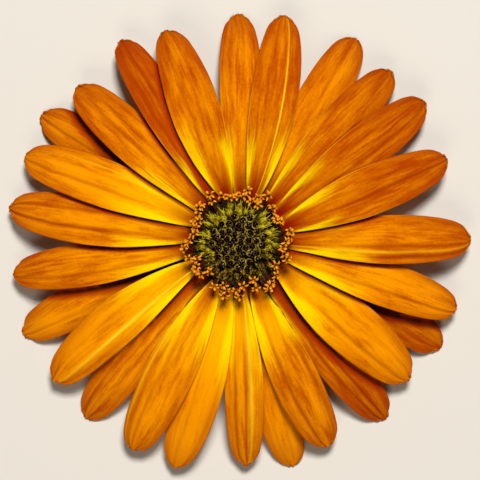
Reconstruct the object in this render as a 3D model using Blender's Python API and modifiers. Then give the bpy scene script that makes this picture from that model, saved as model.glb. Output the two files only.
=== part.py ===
"""African daisy flower head, picked with a short cut stem and lying face up.

Metres, +Z up. The origin is on the surface that the flower rests on, under the middle of its disc.
Angles are measured anticlockwise from +X, seen from above.
"""

import math
from typing import NamedTuple

import bmesh
import bpy
from mathutils import Matrix, Vector

MM = 0.001
TOUCH_GAP = 0.3 * MM  # clearance between pieces that grow from one another

# Cut stem and receptacle: the stem swells into a solid cup, and every other piece grows on it.
STEM_RADIUS = 1.6 * MM
STEM_NECK_RADIUS = 1.9 * MM
STEM_HEIGHT = 1.5 * MM
DRUM_RADIUS = 5.9 * MM
DRUM_BOTTOM = 5.0 * MM
DRUM_TOP = 6.7 * MM
DOME_RISE = 0.8 * MM
TURNED_STEPS = 40

# Ray petals: each leaves the drum on a narrow claw, widens, arches over and droops to its tip.
CLAW_RADIUS = DRUM_RADIUS + TOUCH_GAP
RIM_RADIUS = 8.0 * MM  # a petal runs straight out as far as this, under the disc florets
CLAW_HEIGHT = 6.4 * MM
ARCH_RISE = 1.3 * MM
CREST_AT = 0.38  # share of the petal's length
WIDEST_AT = 0.60
CLAW_SHARE = 0.17  # widths as shares of the greatest one
TIP_SHARE = 0.14
WIDENING_POWER = 1.08
TIP_POWER = 2.3
DROOP_POWER = 1.7
SIDEWAYS_POWER = 0.8
CHANNEL_DEPTH = 0.10  # lift of the edges near the claw, as a share of the half width
CROWN_DEPTH = 0.07  # drop of the edges past the crest
ROLL_FULL_AT = 0.15  # share of the length over which a petal rolls onto its neighbour
PETAL_THICKNESS = 0.35 * MM
PETAL_STATIONS = 11
PETAL_STRIPS = 4
TIP_CROWDING = 1.4  # brings the stations closer together towards the round tip

# Bracts: two rows of narrow green scales that cup the head from below.
BRACTS_PER_ROW = 8
BRACT_FOOT_RADIUS = 2.5 * MM
BRACT_TIP_RADIUS = 8.7 * MM
BRACT_FOOT_HEIGHT = 1.45 * MM
BRACT_RISE = 3.55 * MM
BRACT_CURVE_POWER = 0.85
BRACT_WIDTH = 3.3 * MM
BRACT_FOOT_SHARE = 0.4  # widths as shares of the greatest one
BRACT_TIP_SHARE = 0.12
BRACT_WIDEST_AT = 0.5
BRACT_HOLLOW = 0.12  # lift of the edges, as a share of the half width
BRACT_THICKNESS = 0.3 * MM
BRACT_ROW_DROP = 0.7 * MM
BRACT_STATIONS = 6
BRACT_STRIPS = 2

# Disc florets: an open ring at the rim, a ring of pointed closed ones, and round buds in the middle.
FLORET_SIDES = 6
FOOT_THICKNESS = 0.5 * MM
OPEN_FLORETS = 38
OPEN_FOOT_RADII = (4.9 * MM, 5.75 * MM)
OPEN_CROWN_RADIUS = 7.3 * MM
OPEN_CROWN_HEIGHT = 10.3 * MM
OPEN_TUBE_RADII = (0.32 * MM, 0.5 * MM)
CLOSED_FLORETS = 30
CLOSED_FOOT_RADII = (3.75 * MM, 4.6 * MM)
CLOSED_TIP_RADIUS = 4.9 * MM
CLOSED_TIP_HEIGHT = 10.0 * MM
CLOSED_TUBE_RADII = (0.38 * MM, 0.12 * MM)
BUDS = 44
BUD_FOOT_RADIUS = 3.45 * MM
BUD_OUTER_RADIUS = 3.1 * MM
BUD_RADII = (0.36 * MM, 0.24 * MM)
BUD_HEIGHT = 9.7 * MM
BUD_DOME = 0.5 * MM
GOLDEN_ANGLE = math.radians(137.508)


class Ray(NamedTuple):
    """One ray petal. A positive roll lifts its anticlockwise edge."""

    claw: float  # azimuth of the claw, in degrees
    tip: float  # azimuth of the tip
    reach: float  # distance of the tip from the axis, in mm
    width: float  # greatest width, in mm
    lift: float  # height of the petal above or below its row, in mm
    roll: float  # degrees
    tip_height: float  # in mm


# Anticlockwise from the petal that points along +Y. The low ones carry the head on their tips.
RAYS = (
    Ray(87, 90, 32.4, 6.0, -0.9, 0, 0.25),
    Ray(103, 109, 31.5, 6.1, 1.0, 2, 3.6),
    Ray(118, 120, 32.9, 5.7, 0.5, 11, 2.9),
    Ray(134, 136, 31.5, 6.5, 0.4, 9, 3.2),
    Ray(143, 147, 33.2, 6.3, -0.9, 0, 0.25),
    Ray(153, 158, 32.3, 6.7, 0.3, 5, 3.0),
    Ray(172, 171, 32.5, 6.8, 0.1, 11, 2.6),
    Ray(188, 188, 31.9, 6.1, -0.1, 9, 2.6),
    Ray(197, 203, 33.0, 6.2, -1.0, 0, 0.25),
    Ray(207, 217, 32.3, 6.5, 0.2, 0, 3.2),
    Ray(224, 229, 32.8, 6.3, -0.9, 0, 0.25),
    Ray(241, 243, 32.6, 6.5, 0.5, 3, 3.2),
    Ray(258, 254, 32.8, 6.3, 0.1, 11, 2.6),
    Ray(273, 272, 31.3, 5.5, -0.1, 10, 2.4),
    Ray(281, 284, 32.5, 6.0, -1.0, 2, 0.25),
    Ray(291, 294, 31.3, 6.5, 0.4, 0, 3.0),
    Ray(310, 310, 32.5, 6.2, -0.9, 0, 0.25),
    Ray(329, 321, 30.7, 7.0, 0.0, 0, 3.2),
    Ray(339, 333, 32.3, 6.3, -1.0, 0, 0.25),
    Ray(347, 343, 32.1, 6.3, 0.3, -10, 3.0),
    Ray(362, 361, 32.7, 6.9, 0.5, -10, 3.2),
    Ray(379, 382, 31.6, 6.3, 0.9, 0, 3.6),
    Ray(396, 397, 32.9, 6.5, 0.4, 10, 3.0),
    Ray(410, 408, 32.4, 6.0, 0.1, 10, 2.4),
    Ray(420, 420, 33.4, 6.5, -0.8, 4, 0.35),
    Ray(432, 438.5, 32.6, 6.2, 0.4, 3, 3.2),
)


# ---------------------------------------------------------------- scene and materials


def clear_scene():
    for obj in list(bpy.data.objects):
        bpy.data.objects.remove(obj, do_unlink=True)


def new_collection(name):
    collection = bpy.data.collections.new(name)
    bpy.context.scene.collection.children.link(collection)
    return collection


def plain_material(name, colour, roughness):
    material = bpy.data.materials.new(name)
    material.use_nodes = True
    shader = material.node_tree.nodes["Principled BSDF"]
    shader.inputs["Base Color"].default_value = (*colour, 1.0)
    shader.inputs["Roughness"].default_value = roughness
    shader.inputs["Metallic"].default_value = 0.0
    return material


def make_materials():
    return {
        "petal": plain_material("petal", (0.83, 0.26, 0.01), 0.55),
        "green": plain_material("green", (0.12, 0.22, 0.04), 0.6),
        "flesh": plain_material("flesh", (0.25, 0.32, 0.09), 0.7),
        "open_floret": plain_material("open_floret", (0.70, 0.24, 0.02), 0.6),
        "closed_floret": plain_material("closed_floret", (0.35, 0.38, 0.03), 0.55),
        "bud": plain_material("bud", (0.03, 0.012, 0.02), 0.25),
    }


def add_object(name, bm, material, collection):
    """Turns a bmesh into a named, smooth-shaded object."""
    mesh = bpy.data.meshes.new(name)
    bm.to_mesh(mesh)
    bm.free()
    mesh.shade_smooth()
    mesh.materials.append(material)
    obj = bpy.data.objects.new(name, mesh)
    collection.objects.link(obj)
    return obj


# ---------------------------------------------------------------- turned pieces


def turned(name, profile, material, collection):
    """Turns a profile of (radius, height) points, given top to bottom, about the vertical axis."""
    bm = bmesh.new()
    points = [bm.verts.new((radius, 0.0, height)) for radius, height in profile]
    for upper, lower in zip(points, points[1:]):
        bm.edges.new((upper, lower))
    obj = add_object(name, bm, material, collection)
    screw = obj.modifiers.new("turn", "SCREW")
    screw.axis = "Z"
    screw.steps = TURNED_STEPS
    screw.render_steps = TURNED_STEPS
    screw.use_merge_vertices = True
    screw.merge_threshold = 0.00001
    return obj


def dome_height(radius):
    """Height of the receptacle's low dome at this radius."""
    return DRUM_TOP + DOME_RISE * (1 - (radius / DRUM_RADIUS) ** 2)


def make_stem(material, collection):
    top = STEM_HEIGHT
    profile = (
        (0, top),
        (STEM_NECK_RADIUS, top),
        (STEM_RADIUS, 0.5 * top),
        (STEM_RADIUS, 0),
        (0, 0),
    )
    turned("stem", profile, material, collection)


def make_receptacle(material, collection):
    dome = [(share * DRUM_RADIUS, dome_height(share * DRUM_RADIUS)) for share in (0, 0.3, 0.6, 0.85, 1)]
    bottom = STEM_HEIGHT + TOUCH_GAP
    depth = DRUM_BOTTOM - bottom
    cup = (
        (DRUM_RADIUS, DRUM_BOTTOM),
        (0.88 * DRUM_RADIUS, DRUM_BOTTOM - 0.25 * depth),
        (0.58 * DRUM_RADIUS, DRUM_BOTTOM - 0.72 * depth),
        (STEM_NECK_RADIUS, bottom),
        (0, bottom),
    )
    turned("receptacle", (*dome, *cup), material, collection)


# ---------------------------------------------------------------- petals and bracts


def smooth_step(value):
    clamped = min(max(value, 0.0), 1.0)
    return clamped * clamped * (3 - 2 * clamped)


def petal_half_width(ray, along):
    """Widens from the claw on a sine, then closes on a rounded, slightly blunt tip."""
    if along < WIDEST_AT:
        share = math.sin(along / WIDEST_AT * math.pi / 2) ** WIDENING_POWER
        share = CLAW_SHARE + (1 - CLAW_SHARE) * share
    else:
        past = (along - WIDEST_AT) / (1 - WIDEST_AT)
        share = TIP_SHARE + (1 - TIP_SHARE) * math.sqrt(max(0.0, 1 - past**TIP_POWER))
    return share * ray.width * MM / 2


def petal_spine(ray, along):
    """The middle line: straight out to the rim, swung to the tip's azimuth, arched and drooping."""
    radius = CLAW_RADIUS + (ray.reach * MM - CLAW_RADIUS) * along
    past_rim = max(0.0, radius - RIM_RADIUS) / (ray.reach * MM - RIM_RADIUS)
    azimuth = math.radians(ray.claw + (ray.tip - ray.claw) * past_rim**SIDEWAYS_POWER)
    claw = CLAW_HEIGHT + ray.lift * MM
    crest = claw + ARCH_RISE
    if along < CREST_AT:
        height = claw + ARCH_RISE * math.sin(along / CREST_AT * math.pi / 2)
    else:
        droop = ((along - CREST_AT) / (1 - CREST_AT)) ** DROOP_POWER
        height = crest - (crest - ray.tip_height * MM) * droop
    return Vector((radius * math.cos(azimuth), radius * math.sin(azimuth), height))


def petal_point(ray, along, across):
    """A point of the petal's middle surface: along runs 0 to 1 from the claw, across -1 to 1."""
    step = 0.01
    here = petal_spine(ray, along)
    outward = (petal_spine(ray, along + step) - petal_spine(ray, along - step)).normalized()
    sideways = Vector((0, 0, 1)).cross(outward).normalized()
    roll = math.radians(ray.roll) * smooth_step(along / ROLL_FULL_AT)
    sideways = Matrix.Rotation(roll, 3, outward) @ sideways
    upward = outward.cross(sideways)
    half_width = petal_half_width(ray, along)
    edge_lift = CHANNEL_DEPTH - (CHANNEL_DEPTH + CROWN_DEPTH) * smooth_step(along / WIDEST_AT)
    return here + half_width * (across * sideways + edge_lift * across**2 * upward)


def solid_sheet(name, stations, strips, place, thickness, material, collection):
    """A thin closed sheet: a grid bent by place(along, across), then thickened both ways."""
    bm = bmesh.new()
    bmesh.ops.create_grid(bm, x_segments=stations, y_segments=strips, size=0.5)
    for vert in bm.verts:
        vert.co = place(vert.co.x + 0.5, 2 * vert.co.y)
    obj = add_object(name, bm, material, collection)
    solidify = obj.modifiers.new("thickness", "SOLIDIFY")
    solidify.thickness = thickness
    solidify.offset = 0.0
    return obj


def make_petal(index, ray, material, collection):
    def place(share, across):
        along = 1 - (1 - share) ** TIP_CROWDING
        return petal_point(ray, along, across)

    name = f"ray_petal_{index:02d}"
    solid_sheet(name, PETAL_STATIONS, PETAL_STRIPS, place, PETAL_THICKNESS, material, collection)


def bract_half_width(along):
    """Widens to the middle, then narrows to a blunt point."""
    if along < BRACT_WIDEST_AT:
        end_share = BRACT_FOOT_SHARE
        bulge = math.sin(along / BRACT_WIDEST_AT * math.pi / 2)
    else:
        end_share = BRACT_TIP_SHARE
        bulge = math.cos((along - BRACT_WIDEST_AT) / (1 - BRACT_WIDEST_AT) * math.pi / 2)
    return BRACT_WIDTH / 2 * (end_share + (1 - end_share) * bulge)


def bract_point(azimuth, drop, along, across):
    """A narrow scale that follows the cup outwards and upwards."""
    radius = BRACT_FOOT_RADIUS + (BRACT_TIP_RADIUS - BRACT_FOOT_RADIUS) * along
    height = BRACT_FOOT_HEIGHT - drop + BRACT_RISE * along**BRACT_CURVE_POWER
    half_width = bract_half_width(along)
    spine = Vector((radius * math.cos(azimuth), radius * math.sin(azimuth), height))
    sideways = Vector((-math.sin(azimuth), math.cos(azimuth), 0))
    return spine + half_width * (across * sideways + Vector((0, 0, BRACT_HOLLOW * across**2)))


def make_bract(name, azimuth, drop, material, collection):
    def place(along, across):
        return bract_point(azimuth, drop, along, across)

    solid_sheet(name, BRACT_STATIONS, BRACT_STRIPS, place, BRACT_THICKNESS, material, collection)


def make_bracts(material, collection):
    step = 2 * math.pi / BRACTS_PER_ROW
    for index in range(BRACTS_PER_ROW):
        make_bract(f"bract_inner_{index + 1:02d}", index * step, 0.0, material, collection)
        make_bract(f"bract_outer_{index + 1:02d}", (index + 0.5) * step, BRACT_ROW_DROP, material, collection)


# ---------------------------------------------------------------- disc florets


def add_tube(bm, foot, tip, radii):
    """A tapered tube from foot to tip, added to the mesh."""
    axis = tip - foot
    turn = Vector((0, 0, 1)).rotation_difference(axis).to_matrix().to_4x4()
    bmesh.ops.create_cone(
        bm,
        cap_ends=True,
        cap_tris=True,
        segments=FLORET_SIDES,
        radius1=radii[0],
        radius2=radii[1],
        depth=axis.length,
        matrix=Matrix.Translation((foot + tip) / 2) @ turn,
    )


def ring_point(azimuth, radius, height):
    return Vector((radius * math.cos(azimuth), radius * math.sin(azimuth), height))


def joined_florets(name, foot_profile, tubes, material, collections):
    """One body: a turned foot with a tube for each (foot, tip, radii), joined by a Boolean."""
    parts, cutters = collections
    foot = turned(name, foot_profile, material, parts)
    bm = bmesh.new()
    for tube in tubes:
        add_tube(bm, *tube)
    group = add_object(name + "_tubes", bm, material, cutters)
    group.hide_render = True
    group.display_type = "WIRE"
    union = foot.modifiers.new("florets", "BOOLEAN")
    union.operation = "UNION"
    union.solver = "EXACT"
    union.use_self = True
    union.object = group


def ring_profile(inner, outer, bottom, top):
    """A square ring, closed on itself, top to bottom down its outer side."""
    return ((inner, top), (outer, top), (outer, bottom), (inner, bottom), (inner, top))


def make_floret_ring(name, count, foot_radii, tip_place, tube_radii, material, collections):
    """A ring of florets that lean outwards from a shared foot to tip_place, a (radius, height)."""
    inner, outer = foot_radii
    bottom = dome_height(inner) + TOUCH_GAP
    top = bottom + FOOT_THICKNESS
    tubes = []
    for index in range(count):
        azimuth = 2 * math.pi * index / count
        foot = ring_point(azimuth, (inner + outer) / 2, (bottom + top) / 2)
        tubes.append((foot, ring_point(azimuth, *tip_place), tube_radii))
    joined_florets(name, ring_profile(inner, outer, bottom, top), tubes, material, collections)


def make_open_florets(material, collections):
    crown = (OPEN_CROWN_RADIUS, OPEN_CROWN_HEIGHT)
    ring = (OPEN_FLORETS, OPEN_FOOT_RADII, crown, OPEN_TUBE_RADII)
    make_floret_ring("disc_florets_open", *ring, material, collections)


def make_closed_florets(material, collections):
    point = (CLOSED_TIP_RADIUS, CLOSED_TIP_HEIGHT)
    ring = (CLOSED_FLORETS, CLOSED_FOOT_RADII, point, CLOSED_TUBE_RADII)
    make_floret_ring("disc_florets_closed", *ring, material, collections)


def make_buds(material, collections):
    bottom = dome_height(0) + TOUCH_GAP
    top = bottom + FOOT_THICKNESS
    tubes = []
    for index in range(BUDS):
        radius = BUD_OUTER_RADIUS * math.sqrt((index + 0.5) / BUDS)
        azimuth = index * GOLDEN_ANGLE
        height = BUD_HEIGHT + BUD_DOME * (1 - (radius / BUD_OUTER_RADIUS) ** 2)
        foot = ring_point(azimuth, radius, (bottom + top) / 2)
        tubes.append((foot, ring_point(azimuth, radius, height), BUD_RADII))
    profile = ((0, top), (BUD_FOOT_RADIUS, top), (BUD_FOOT_RADIUS, bottom), (0, bottom))
    joined_florets("disc_buds", profile, tubes, material, collections)


def main():
    clear_scene()
    parts = new_collection("african_daisy")
    cutters = new_collection("cutters")
    materials = make_materials()
    make_stem(materials["green"], parts)
    make_receptacle(materials["flesh"], parts)
    for index, ray in enumerate(RAYS, start=1):
        make_petal(index, ray, materials["petal"], parts)
    make_bracts(materials["green"], parts)
    make_open_florets(materials["open_floret"], (parts, cutters))
    make_closed_florets(materials["closed_floret"], (parts, cutters))
    make_buds(materials["bud"], (parts, cutters))


main()
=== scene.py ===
# %% [markdown]
# # An orange African daisy
#
# This lesson dresses a plain model of an African daisy's head. The plain model has one solid for each petal,
# bract and ring of florets, all at their real size in metres, with +Z out of the flower's face. The lesson
# keeps their places and gives each piece its fine form and its living colours.
#
# The order is the one in which the flower would be looked at: first the helpers, then the petals, which are
# nearly all that shows, then the disc with its many small florets, then the green parts behind, and last
# the light and the camera.

# %% Load the frame
import math
from typing import NamedTuple

import bpy
import numpy as np
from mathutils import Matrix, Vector
from mathutils.bvhtree import BVHTree


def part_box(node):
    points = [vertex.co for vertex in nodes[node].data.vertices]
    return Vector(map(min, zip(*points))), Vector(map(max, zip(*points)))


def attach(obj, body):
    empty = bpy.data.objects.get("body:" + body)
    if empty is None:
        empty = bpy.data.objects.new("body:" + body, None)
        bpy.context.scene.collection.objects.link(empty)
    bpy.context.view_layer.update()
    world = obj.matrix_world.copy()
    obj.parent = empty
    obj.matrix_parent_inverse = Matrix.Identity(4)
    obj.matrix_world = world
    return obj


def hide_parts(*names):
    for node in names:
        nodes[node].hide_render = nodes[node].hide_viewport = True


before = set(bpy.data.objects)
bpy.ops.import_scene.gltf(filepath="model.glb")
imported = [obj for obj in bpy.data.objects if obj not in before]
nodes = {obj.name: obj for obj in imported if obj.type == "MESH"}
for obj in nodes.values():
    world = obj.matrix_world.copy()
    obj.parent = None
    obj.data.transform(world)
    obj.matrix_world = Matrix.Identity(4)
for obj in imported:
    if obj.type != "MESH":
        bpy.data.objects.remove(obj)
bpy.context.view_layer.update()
MM = 0.001
ONE_PLACE = 0.001 * MM  # points that lie closer than this are at one place


print("pieces in the plain model:", len(nodes))

# %% [markdown]
# ## Writing node trees as sums
#
# Shaders and Geometry Nodes are both node trees, and most of what they hold is arithmetic. Node by node,
# a formula takes a dozen lines. A small class that wraps one socket, and adds a Math node for each + or *,
# lets the formula be read as a formula. Numbers alone never reach it, so they stay plain Python.


# %% A wire that can be added and multiplied
def sign(operation, reflected=False):
    """The method behind one of Python's signs: it adds a Math node."""

    def method(wire, other):
        return wire.tree.math(operation, *((other, wire) if reflected else (wire, other)))

    return method


class Wire:
    """A number, vector or colour that runs through a node tree."""

    __add__, __radd__ = sign("ADD"), sign("ADD", reflected=True)
    __sub__, __rsub__ = sign("SUBTRACT"), sign("SUBTRACT", reflected=True)
    __mul__, __rmul__ = sign("MULTIPLY"), sign("MULTIPLY", reflected=True)
    __truediv__, __pow__ = sign("DIVIDE"), sign("POWER")

    def __init__(self, tree, socket):
        self.tree = tree
        self.socket = socket

    def __neg__(self):
        return self * -1.0

    def out(self, name):
        """Another output of the node that this wire comes from."""
        return Wire(self.tree, self.socket.node.outputs[name])


class Tree:
    """Adds nodes to a shader tree or a geometry tree."""

    def __init__(self, tree):
        self.tree = tree

    def node(self, kind, settings=None, inputs=None, output=0):
        """Adds a node: its settings first, then the values or wires of its sockets."""
        node = self.tree.nodes.new(kind)
        for name, value in (settings or {}).items():
            setattr(node, name, value)
        for key, value in (inputs or {}).items():
            if isinstance(value, Wire):
                self.tree.links.new(value.socket, node.inputs[key])
            else:
                node.inputs[key].default_value = value
        return Wire(self, node.outputs[output])

    def math(self, operation, *values):
        return self.node("ShaderNodeMath", {"operation": operation}, dict(enumerate(values)))

    def sin(self, angle):
        return self.math("SINE", angle)

    def cos(self, angle):
        return self.math("COSINE", angle)

    def step(self, value, low, high):
        """Rises smoothly from 0 at low to 1 at high."""
        inputs = {"Value": value, "From Min": low, "From Max": high}
        return self.node("ShaderNodeMapRange", {"interpolation_type": "SMOOTHSTEP"}, inputs)

    def ridge(self, value, middle, width):
        """A smooth bump that is 1 where value is at middle."""
        away = (value - middle) / width
        return self.math("EXPONENT", -(away * away))

    def vector(self, x=0.0, y=0.0, z=0.0):
        return self.node("ShaderNodeCombineXYZ", inputs={"X": x, "Y": y, "Z": z})

    def part(self, vector, letter):
        """The X, Y or Z of a vector."""
        return self.node("ShaderNodeSeparateXYZ", inputs={"Vector": vector}).out(letter)

    def noise(self, place, scale, detail=2.0, roughness=0.5):
        """A cloudy pattern between 0 and 1."""
        inputs = {"Vector": place, "Scale": scale, "Detail": detail, "Roughness": roughness}
        return self.node("ShaderNodeTexNoise", inputs=inputs)

    def chance(self, value, salt):
        """A number between 0 and 1 that depends on value and salt alone. Each use has its own salt."""
        return self.node("ShaderNodeTexWhiteNoise", {"noise_dimensions": "1D"}, {"W": value + salt})

    def curve(self, value, points):
        """A smooth curve through (from, to) points: from lies between 0 and 1, and to may reach 1.2."""
        wire = self.node("ShaderNodeFloatCurve", inputs={"Value": value})
        mapping = wire.socket.node.mapping
        mapping.clip_max_y = 1.2
        stops = mapping.curves[0].points
        for stop in points[2:]:
            stops.new(*stop)
        for stop, place in zip(stops, points):
            stop.location = place
            stop.handle_type = "AUTO_CLAMPED"
        mapping.update()
        return wire

    def outline(self, rise, stops):
        """Two curves of rise, for the place and for the radius, through (rise, place, radius) stops."""
        starts, places, radii = zip(*stops)
        return self.curve(rise, tuple(zip(starts, places))), self.curve(rise, tuple(zip(starts, radii)))

    def blend(self, first, second, share):
        """Mixes two colours: share 0 is the first and share 1 the second."""
        settings = {"data_type": "RGBA", "clamp_factor": True}
        return self.node("ShaderNodeMix", settings, {0: share, 6: first, 7: second}, output=2)


print("helpers: Wire and Tree")

# %% [markdown]
# Geometry Nodes trees need three more things: named inputs, a way to set them on an object, and a last step
# that turns the result into a plain mesh. A modifier's input is known by its socket's identifier, so the
# name is looked up once.


# %% Geometry Nodes helpers
class GeometryTree(Tree):
    """A geometry tree with named inputs."""

    SOCKETS = {float: "NodeSocketFloat", int: "NodeSocketInt", bpy.types.Material: "NodeSocketMaterial"}

    def __init__(self, name):
        super().__init__(bpy.data.node_groups.new(name, "GeometryNodeTree"))
        self.tree.interface.new_socket("Geometry", in_out="INPUT", socket_type="NodeSocketGeometry")
        self.tree.interface.new_socket("Geometry", in_out="OUTPUT", socket_type="NodeSocketGeometry")
        self.start = self.node("NodeGroupInput")

    def value(self, name, kind=float):
        """Adds a named input and gives its wire."""
        self.tree.interface.new_socket(name, in_out="INPUT", socket_type=self.SOCKETS[kind])
        return self.start.out(name)

    def attribute(self, name, kind="FLOAT"):
        return self.node("GeometryNodeInputNamedAttribute", {"data_type": kind}, {"Name": name})

    def store(self, geometry, name, value):
        """Keeps a value on the points, for later nodes and for the material."""
        inputs = {"Geometry": geometry, "Name": name, "Value": value}
        return self.node("GeometryNodeStoreNamedAttribute", inputs=inputs)

    def scaled(self, vector, factor):
        return self.node("ShaderNodeVectorMath", {"operation": "SCALE"}, {0: vector, "Scale": factor})

    def moved(self, geometry, offset):
        return self.node("GeometryNodeSetPosition", inputs={"Geometry": geometry, "Offset": offset})

    def joined(self, *geometries):
        join = self.tree.nodes.new("GeometryNodeJoinGeometry")
        for geometry in reversed(geometries):
            self.tree.links.new(geometry.socket, join.inputs[0])
        return Wire(self, join.outputs[0])

    def welded(self, geometry):
        inputs = {"Geometry": geometry, "Distance": ONE_PLACE}
        return self.node("GeometryNodeMergeByDistance", inputs=inputs)

    def subdivided_cage(self):
        """The sheet that the tree starts from, made finer and smooth."""
        fine = {"Mesh": self.start.out("Geometry"), "Level": self.value("Fineness", int)}
        return self.node("GeometryNodeSubdivisionSurface", inputs=fine)

    def thickened(self, sheet):
        """The sheet with an underside, which is turned over and welded to it along the rim."""
        below = {"Mesh": sheet, "Offset Scale": -self.value("Thickness"), "Individual": False}
        below = self.node("GeometryNodeExtrudeMesh", {"mode": "FACES"}, below)
        below = self.node("GeometryNodeFlipFaces", inputs={"Mesh": below})
        return self.welded(self.joined(sheet, self.store(below, "underside", 1.0)))

    def finish(self, geometry):
        """Realizes every instance and sets the material, then ends the tree."""
        plain = self.node("GeometryNodeRealizeInstances", inputs={"Geometry": geometry})
        material = self.value("Material", bpy.types.Material)
        done = self.node("GeometryNodeSetMaterial", inputs={"Geometry": plain, "Material": material})
        end = self.tree.nodes.new("NodeGroupOutput")
        self.tree.links.new(done.socket, end.inputs[0])
        print(self.tree.name, "rule:", len(self.tree.nodes), "nodes")
        return self


def new_object(name, data):
    """An object that is linked to the scene."""
    obj = bpy.data.objects.new(name, data)
    bpy.context.scene.collection.objects.link(obj)
    return obj


def grown(name, mesh, tree, **values):
    """Runs a geometry tree on a mesh and returns an object that holds the plain result."""
    obj = new_object(name, mesh)
    modifier = obj.modifiers.new("grow", "NODES")
    modifier.node_group = tree.tree
    items = tree.tree.interface.items_tree
    sockets = {item.name: item.identifier for item in items if item.in_out == "INPUT"}
    for label, value in values.items():
        modifier[sockets[label.replace("_", " ")]] = value
    evaluated = obj.evaluated_get(bpy.context.evaluated_depsgraph_get())
    plain = bpy.data.meshes.new_from_object(evaluated)
    obj.modifiers.clear()
    obj.data = plain
    plain.name = name
    plain.shade_smooth()
    return obj


def put_in_place(piece, node):
    """Makes a piece ride with the flower and stand for one node of the plain model."""
    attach(piece, "root")
    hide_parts(node)


print("helpers: GeometryTree, new_object, grown and put_in_place")

# %% [markdown]
# ## Ray petals
#
# Each ray petal is a soft strap. It leaves the receptacle on a narrow claw, widens to about two thirds of
# its length, arches over and droops to a blunt tip with tiny teeth. Its face has two long grooves between
# three low ridges, and fine veins run along it.
#
# The plain model already holds each petal's own length, bend, roll and place over or under its neighbours.
# So the first step measures it: the solid is cut by upright planes across its length, and each cut gives
# the two edges and the height of the middle surface between them. These make a coarse cage of four-sided
# faces, which carries two coordinates that everything later is drawn with: along, from 0 at the claw to 1
# at the tip, and across, from -1 at the clockwise edge to 1 at the other.


# %% Cut a solid across
def triangles_of(node):
    """The corners of a node's triangles, as an array of shape (triangles, 3, 3)."""
    mesh = node.data
    mesh.calc_loop_triangles()
    points = np.array([vertex.co for vertex in mesh.vertices])
    return points[np.array([triangle.vertices for triangle in mesh.loop_triangles])]


def section(corners, centre, outward):
    """The segments where a vertical plane cuts the triangles, each two (sideways, height) points."""
    sideways = np.array([-outward[1], outward[0]])
    distance = (corners[:, :, :2] - centre) @ outward
    segments = []
    for triangle, far in zip(corners, distance):
        if (far > 0).all() or (far < 0).all():
            continue
        ends = []
        for first, second in ((0, 1), (1, 2), (2, 0)):
            if (far[first] > 0) != (far[second] > 0):
                share = far[first] / (far[first] - far[second])
                point = triangle[first] + share * (triangle[second] - triangle[first])
                ends.append(((point[:2] - centre) @ sideways, point[2]))
        if len(ends) == 2:
            segments.append(ends)
    return np.array(segments)


def middle_height(segments, sideways):
    """Halfway between the solid's upper and lower surface at this place in the cut."""
    heights = []
    for (first, low), (second, high) in segments:
        if min(first, second) <= sideways <= max(first, second) and first != second:
            heights.append(low + (high - low) * (sideways - first) / (second - first))
    return (min(heights) + max(heights)) / 2


print("helpers: triangles_of, section and middle_height")

# %% Find a strap's spine and build its cage
END_ZONE = 0.3 * MM
SPINE_CUTS = 12
BEND_DEGREE = 3
STATIONS, COLUMNS = 24, 12
TIP_CROWDING = 1.45
END_INSET = 0.04 * MM
FOOT_FULLNESS, TIP_FULLNESS, TIP_ROUNDNESS = 0.34, 0.12, 0.35
SWELL_SKEW, SWELL_SHARPNESS = 0.66, 1.5
TILT_SPAN, EDGE_SPAN = 0.9, 0.98


def strap_spine(corners):
    """A strap's length, its foot's place, its direction, and its sideways bend as a cubic."""
    flat = corners.reshape(-1, 3)[:, :2]
    reach = np.hypot(*flat.T)
    claw = flat[reach < reach.min() + END_ZONE].mean(axis=0)
    tip = flat[reach > reach.max() - END_ZONE].mean(axis=0)
    direction = (tip - claw) / np.linalg.norm(tip - claw)
    length = ((flat - claw) @ direction).max()
    places = np.linspace(0.05, 0.95, SPINE_CUTS) * length
    middles = []
    for place in places:
        cut = section(corners, claw + place * direction, direction)
        middles.append((cut[:, :, 0].min() + cut[:, :, 0].max()) / 2)
    return length, claw, direction, np.polyfit(places, middles, BEND_DEGREE)


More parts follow.
